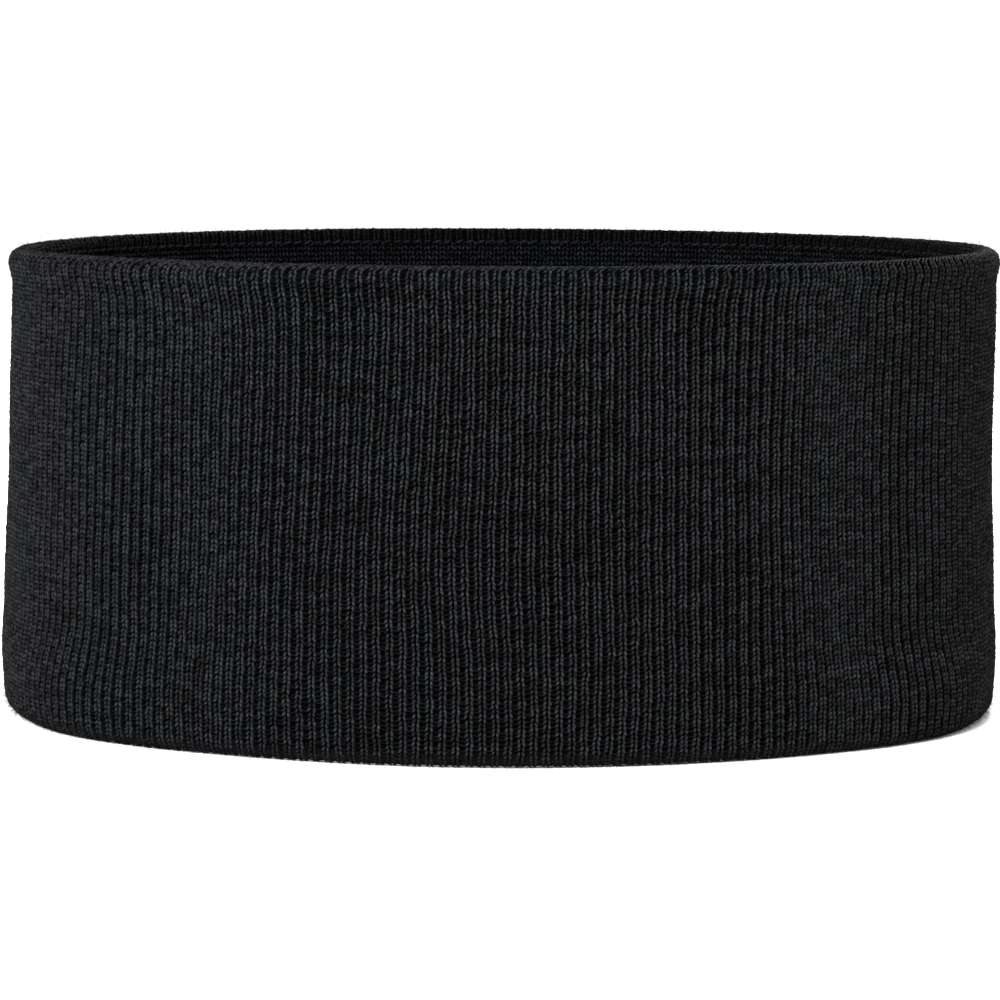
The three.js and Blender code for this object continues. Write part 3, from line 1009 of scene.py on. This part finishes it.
def build_label():
    """A blank ribbon with a soft wave, hanging from its stitched top edge."""
    width = label_high.x - label_low.x
    length = label_high.z - label_low.z
    middle = (label_low.y + label_high.y) / 2
    columns = 40
    rows = 46
    vertices, faces = [], []
    for side in (0, 1):
        for j in range(rows + 1):
            for i in range(columns + 1):
                u, v = i / columns, j / rows
                edge = 1 - 0.5 * max(abs(2 * u - 1) ** 24, (2 * v - 1) ** 24 if v > 0.5 else 0)
                wave = LABEL_WAVE * math.sin(2.1 * math.pi * u + 0.6) * v
                curl = LABEL_TWIST * v * math.sin(3.0 * u + 4.0 * v) - LABEL_CURL * v**3
                thick = (side - 0.5) * LABEL_BODY * edge
                narrow = 1 - LABEL_WAIST * math.sin(math.pi * v) ** 2
                vertices.append((
                    (u - 0.5) * width * narrow,
                    middle + wave + curl + thick,
                    label_high.z - v * length * LABEL_TAKEN_UP,
                ))
    layer = (columns + 1) * (rows + 1)
    for j in range(rows):
        for i in range(columns):
            a = j * (columns + 1) + i
            faces.append((a, a + columns + 1, a + columns + 2, a + 1))
            b = a + layer
            faces.append((b, b + 1, b + columns + 2, b + columns + 1))
    rim = [(0, i) for i in range(columns)]
    rim += [(j, columns) for j in range(rows)]
    rim += [(rows, i) for i in range(columns, 0, -1)]
    rim += [(j, 0) for j in range(rows, 0, -1)]
    for k, (j, i) in enumerate(rim):
        next_j, next_i = rim[(k + 1) % len(rim)]
        a = j * (columns + 1) + i
        b = next_j * (columns + 1) + next_i
        faces.append((a, b, b + layer, a + layer))
    mesh = make_mesh("ribbon_label", vertices, faces)
    mesh.materials.append(satin_finish)
    return add_object("ribbon_label", mesh)


ribbon_label = build_label()
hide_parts("care_label")

label_thread_length = label_thread_high.x - label_thread_low.x
label_place = np.array([
    (
        label_thread_low.x + (k + 0.5) * label_thread_length / LABEL_STITCHES,
        label_thread_low.y + 0.05 * MM,
        (label_thread_low.z + label_thread_high.z) / 2,
    )
    for k in range(LABEL_STITCHES)
])
label_guide = make_guide(
    "label_guide", label_place, 1.0, out=(0, -1, 0), up=(0, 0, 1), flat=(0.5, 0.5, 0), fit=(1, 1, 1)
)
label_stitching = add_thread(
    "label_stitching", "label_stitch", label_guide, running_stitch, seed=64,
    tilt=(0.03, 0.03, 0.04), flat_scale=(30.0, 30.0, 0),
)

# ------------------------------------------------------------------ loose fibres
fuzz_girth, fuzz_along = crossings(
    (np.arange(RIBS) + 0.3) * RIB_PITCH, course_lines[course_lines < OUTER_LENGTH - 8 * MM]
)
fuzz = lay(
    "loose_fibres", band_guide("fuzz_guide", fuzz_girth, fuzz_along), loose_fibre, fibre_finish,
    seed=70, share=0.22, tilt=(0.9, 0.9, 3.1), stray=(0.9 * MM, 0.4 * MM, 0.1 * MM),
    smallest=0.45, largest=1.05,
)
hem_girth, hem_along = crossings(
    np.arange(3 * RIBS) * RIB_PITCH / 3, OUTER_LENGTH - np.array([8.4, 7.8, 7.2, 6.6]) * MM
)
hem_fuzz = lay(
    "hem_fibres", band_guide("hem_fuzz_guide", hem_girth, hem_along), loose_fibre, fibre_finish,
    seed=71, share=0.55, tilt=(0.5, 0.5, 3.1), stray=(0.5 * MM, 0.3 * MM, 0.1 * MM),
    smallest=0.6, largest=1.3,
)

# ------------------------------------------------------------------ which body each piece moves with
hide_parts("outer_band")
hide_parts("inner_lining")
outer_threads = [upper_linking, lower_linking, outer_back_seaming]
for piece in (outer_cloth, *outer_stitches, fuzz, hem_fuzz):
    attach(piece, "band")
for piece in (lining_cloth, *lining_stitches):
    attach(piece, "band")
for piece in (*outer_threads, lining_back_seaming, label_stitching):
    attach(piece, "band")
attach(ribbon_label, "label")

# ------------------------------------------------------------------ stage, light and camera
FLOOR = 3  # metres from the band to each edge of the floor
floor_corners = [(-FLOOR, -FLOOR, 0), (FLOOR, -FLOOR, 0), (FLOOR, FLOOR, 0), (-FLOOR, FLOOR, 0)]
floor_mesh = make_mesh("floor", floor_corners, [(0, 1, 2, 3)])
floor_finish = bpy.data.materials.new("Pale floor")
floor_finish.use_nodes = True
floor_shader = floor_finish.node_tree.nodes["Principled BSDF"]
floor_shader.inputs["Base Color"].default_value = (0.95, 0.95, 0.95, 1)
floor_shader.inputs["Roughness"].default_value = 0.9
floor_mesh.materials.append(floor_finish)
floor = add_object("floor", floor_mesh)

world = bpy.data.worlds.new("Studio")
world.use_nodes = True
world.node_tree.nodes["Background"].inputs["Color"].default_value = (1, 1, 1, 1)
world.node_tree.nodes["Background"].inputs["Strength"].default_value = 1.07
bpy.context.scene.world = world

CENTRE = Vector((0, 0, 40.7 * MM))  # where the lights and the camera point


def area_light(name, place, size, power):
    light = bpy.data.lights.new(name, "AREA")
    light.shape = "DISK"
    light.size = size
    light.energy = power
    obj = bpy.data.objects.new(name, light)
    obj.location = place
    obj.rotation_euler = (CENTRE - Vector(place)).to_track_quat("-Z", "Y").to_euler()
    bpy.context.scene.collection.objects.link(obj)


area_light("key", (-0.29, -0.79, 0.43), 0.35, 18.5)
area_light("back", (0.3, 0.95, 0.6), 0.35, 17)

CAMERA_DISTANCE = 0.80
CAMERA_RISE = math.radians(6.5)
CAMERA_ROLL = math.radians(0.3)
CAMERA_LENS = 143
camera_data = bpy.data.cameras.new("camera")
camera_data.sensor_width = 36
camera_data.lens = CAMERA_LENS
camera_data.clip_start = 0.01
camera = bpy.data.objects.new("camera", camera_data)
camera.location = CENTRE + CAMERA_DISTANCE * Vector(
    (0, -math.cos(CAMERA_RISE), math.sin(CAMERA_RISE))
)
facing = (CENTRE - camera.location).to_track_quat("-Z", "Y")
camera.rotation_euler = (facing @ Quaternion((0, 0, 1), CAMERA_ROLL)).to_euler()
bpy.context.scene.collection.objects.link(camera)
bpy.context.scene.camera = camera
bpy.context.scene.view_settings.view_transform = "Standard"
